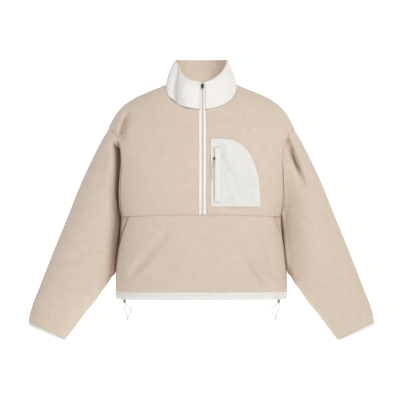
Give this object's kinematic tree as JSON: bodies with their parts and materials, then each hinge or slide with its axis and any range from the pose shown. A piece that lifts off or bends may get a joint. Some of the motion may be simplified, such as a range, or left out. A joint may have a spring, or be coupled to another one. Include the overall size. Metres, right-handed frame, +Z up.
{
  "type": "half-zip fleece pullover",
  "caption": "Cropped half-zip fleece pullover with a stand collar, woven chest pocket, kangaroo pouch, drawcord hem and long sleeves, hollow and filled out as if worn.",
  "frame": {"origin": "middle of the neck opening, level with the points where the shoulder seams meet the collar, where the wearer's shoulders and neck hold the garment", "axes": "+Z up, the front faces -Y, +X to the viewer's right when the front is seen"},
  "size_m": [0.8636, 0.2505, 0.7054],
  "materials": {
    "pile_fleece": "brushed pile fleece, matt",
    "woven_taffeta": "plain woven taffeta, slight sheen",
    "zip_tape": "woven tape",
    "zip_coil": "nylon coil",
    "dark_metal": "gunmetal lacquer, satin",
    "dark_eyelet": "gunmetal, satin",
    "cord_end": "moulded, matt",
    "cord": "braided polyester"
  },
  "bodies": {
    "garment": {"back_panel": "pile_fleece", "chest_pocket": "woven_taffeta", "collar_lining": "pile_fleece", "collar_outer": "woven_taffeta", "cuff_binding_left": "woven_taffeta", "cuff_binding_right": "woven_taffeta", "drawcord_end_left": "cord_end", "drawcord_end_right": "cord_end", "drawcord_ferrule_left": "dark_eyelet", "drawcord_ferrule_right": "dark_eyelet", "drawcord_left_bowed": "cord", "drawcord_left_straight": "cord", "drawcord_right_bowed": "cord", "drawcord_right_straight": "cord", "front_lower": "pile_fleece", "front_upper_left": "pile_fleece", "front_upper_right": "pile_fleece", "hem_casing": "woven_taffeta", "kangaroo_pouch": "pile_fleece", "pocket_pull_cord": "cord", "pocket_slider": "dark_metal", "pocket_zip_chain": "zip_coil", "pocket_zip_flap": "woven_taffeta", "sleeve_left": "pile_fleece", "sleeve_right": "pile_fleece", "zip_bottom_stop": "zip_coil", "zip_chain": "zip_coil", "zip_slider": "dark_metal", "zip_slider_bridge": "dark_metal", "zip_tape_left": "zip_tape", "zip_tape_right": "zip_tape"},
    "pull_tab": {"zip_pull": "dark_metal"}
  },
  "joints": [
    {"name": "pull_tab_swing", "type": "hinge", "parent": "garment", "child": "pull_tab", "pos_m": [0.003, -0.07653, 0.00149], "axis": [-1, 0, 0], "range_deg": [0, 165]}
  ]
}
